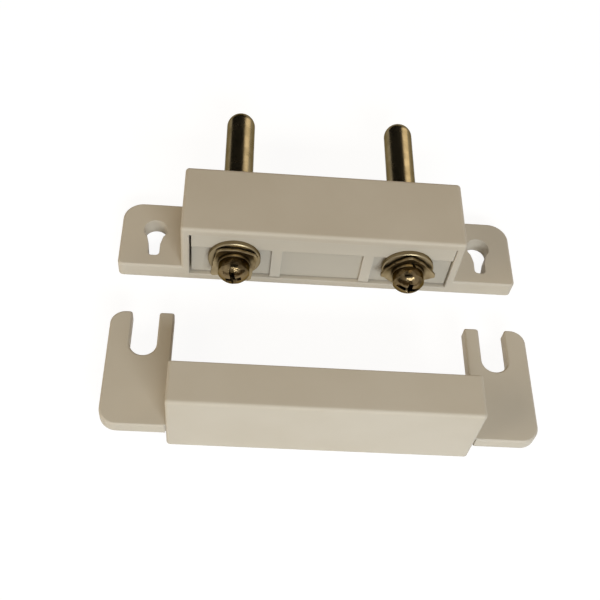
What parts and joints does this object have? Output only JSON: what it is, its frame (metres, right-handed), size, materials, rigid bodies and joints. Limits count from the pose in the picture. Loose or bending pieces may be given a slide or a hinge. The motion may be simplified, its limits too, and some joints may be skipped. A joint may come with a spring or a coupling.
{
  "type": "water leak sensor",
  "caption": "Wall-mounted water leak sensor: ribbed plastic block with round metal probes, screw terminals, keyhole ears and a slide-on cover with forked ears, shown taken off.",
  "frame": {"origin": "middle of the housing's wall face", "axes": "+X along the housing, from the left ear to the right one as seen from the terminal side; +Y from the terminals to the probe tips; +Z out of the wall"},
  "size_m": [0.0636, 0.0593, 0.0124],
  "materials": {
    "housing_plastic": "fine moulded texture, ivory beige",
    "bar_plastic": "smooth, ivory beige, a little greyer",
    "cover_plastic": "fine moulded texture, ivory beige",
    "resin": "cast, smooth",
    "probe_metal": "nickel plated, drawn and turned, dulled",
    "screw_metal": "nickel plated, browned with age",
    "washer_metal": "nickel plated, pressed, dulled"
  },
  "bodies": {
    "sensor": {"housing": "housing_plastic", "terminal_bar": "bar_plastic", "sealing_resin": "resin", "probe_left": "probe_metal", "probe_right": "probe_metal"},
    "cover": {"terminal_cover": "cover_plastic"},
    "clamp_left": {"clamp_washer_left": "washer_metal", "lock_washer_left": "washer_metal"},
    "screw_left": {"terminal_screw_left": "screw_metal"},
    "clamp_right": {"clamp_washer_right": "washer_metal", "lock_washer_right": "washer_metal"},
    "screw_right": {"terminal_screw_right": "screw_metal"}
  },
  "joints": [
    {"name": "cover_slide", "type": "slide", "parent": "sensor", "child": "cover", "axis": [0, 1, 0], "range_m": [0, 0.0226]},
    {"name": "clamp_left_lift", "type": "slide", "parent": "sensor", "child": "clamp_left", "axis": [0, -1, 0], "range_m": [0, 0.00095]},
    {"name": "screw_left_turn", "type": "hinge", "parent": "clamp_left", "child": "screw_left", "pos_m": [-0.01355, -0.00795, 0.0062], "axis": [0, -1, 0], "range_deg": [0, 540]},
    {"name": "clamp_right_lift", "type": "slide", "parent": "sensor", "child": "clamp_right", "axis": [0, -1, 0], "range_m": [0, 0.00095]},
    {"name": "screw_right_turn", "type": "hinge", "parent": "clamp_right", "child": "screw_right", "pos_m": [0.01355, -0.00795, 0.0062], "axis": [0, -1, 0], "range_deg": [0, 540]}
  ],
  "couplings": [
    {"joint": "screw_left_turn", "follows": "clamp_left_lift", "rad_per_m": 9894},
    {"joint": "screw_right_turn", "follows": "clamp_right_lift", "rad_per_m": 9894}
  ]
}
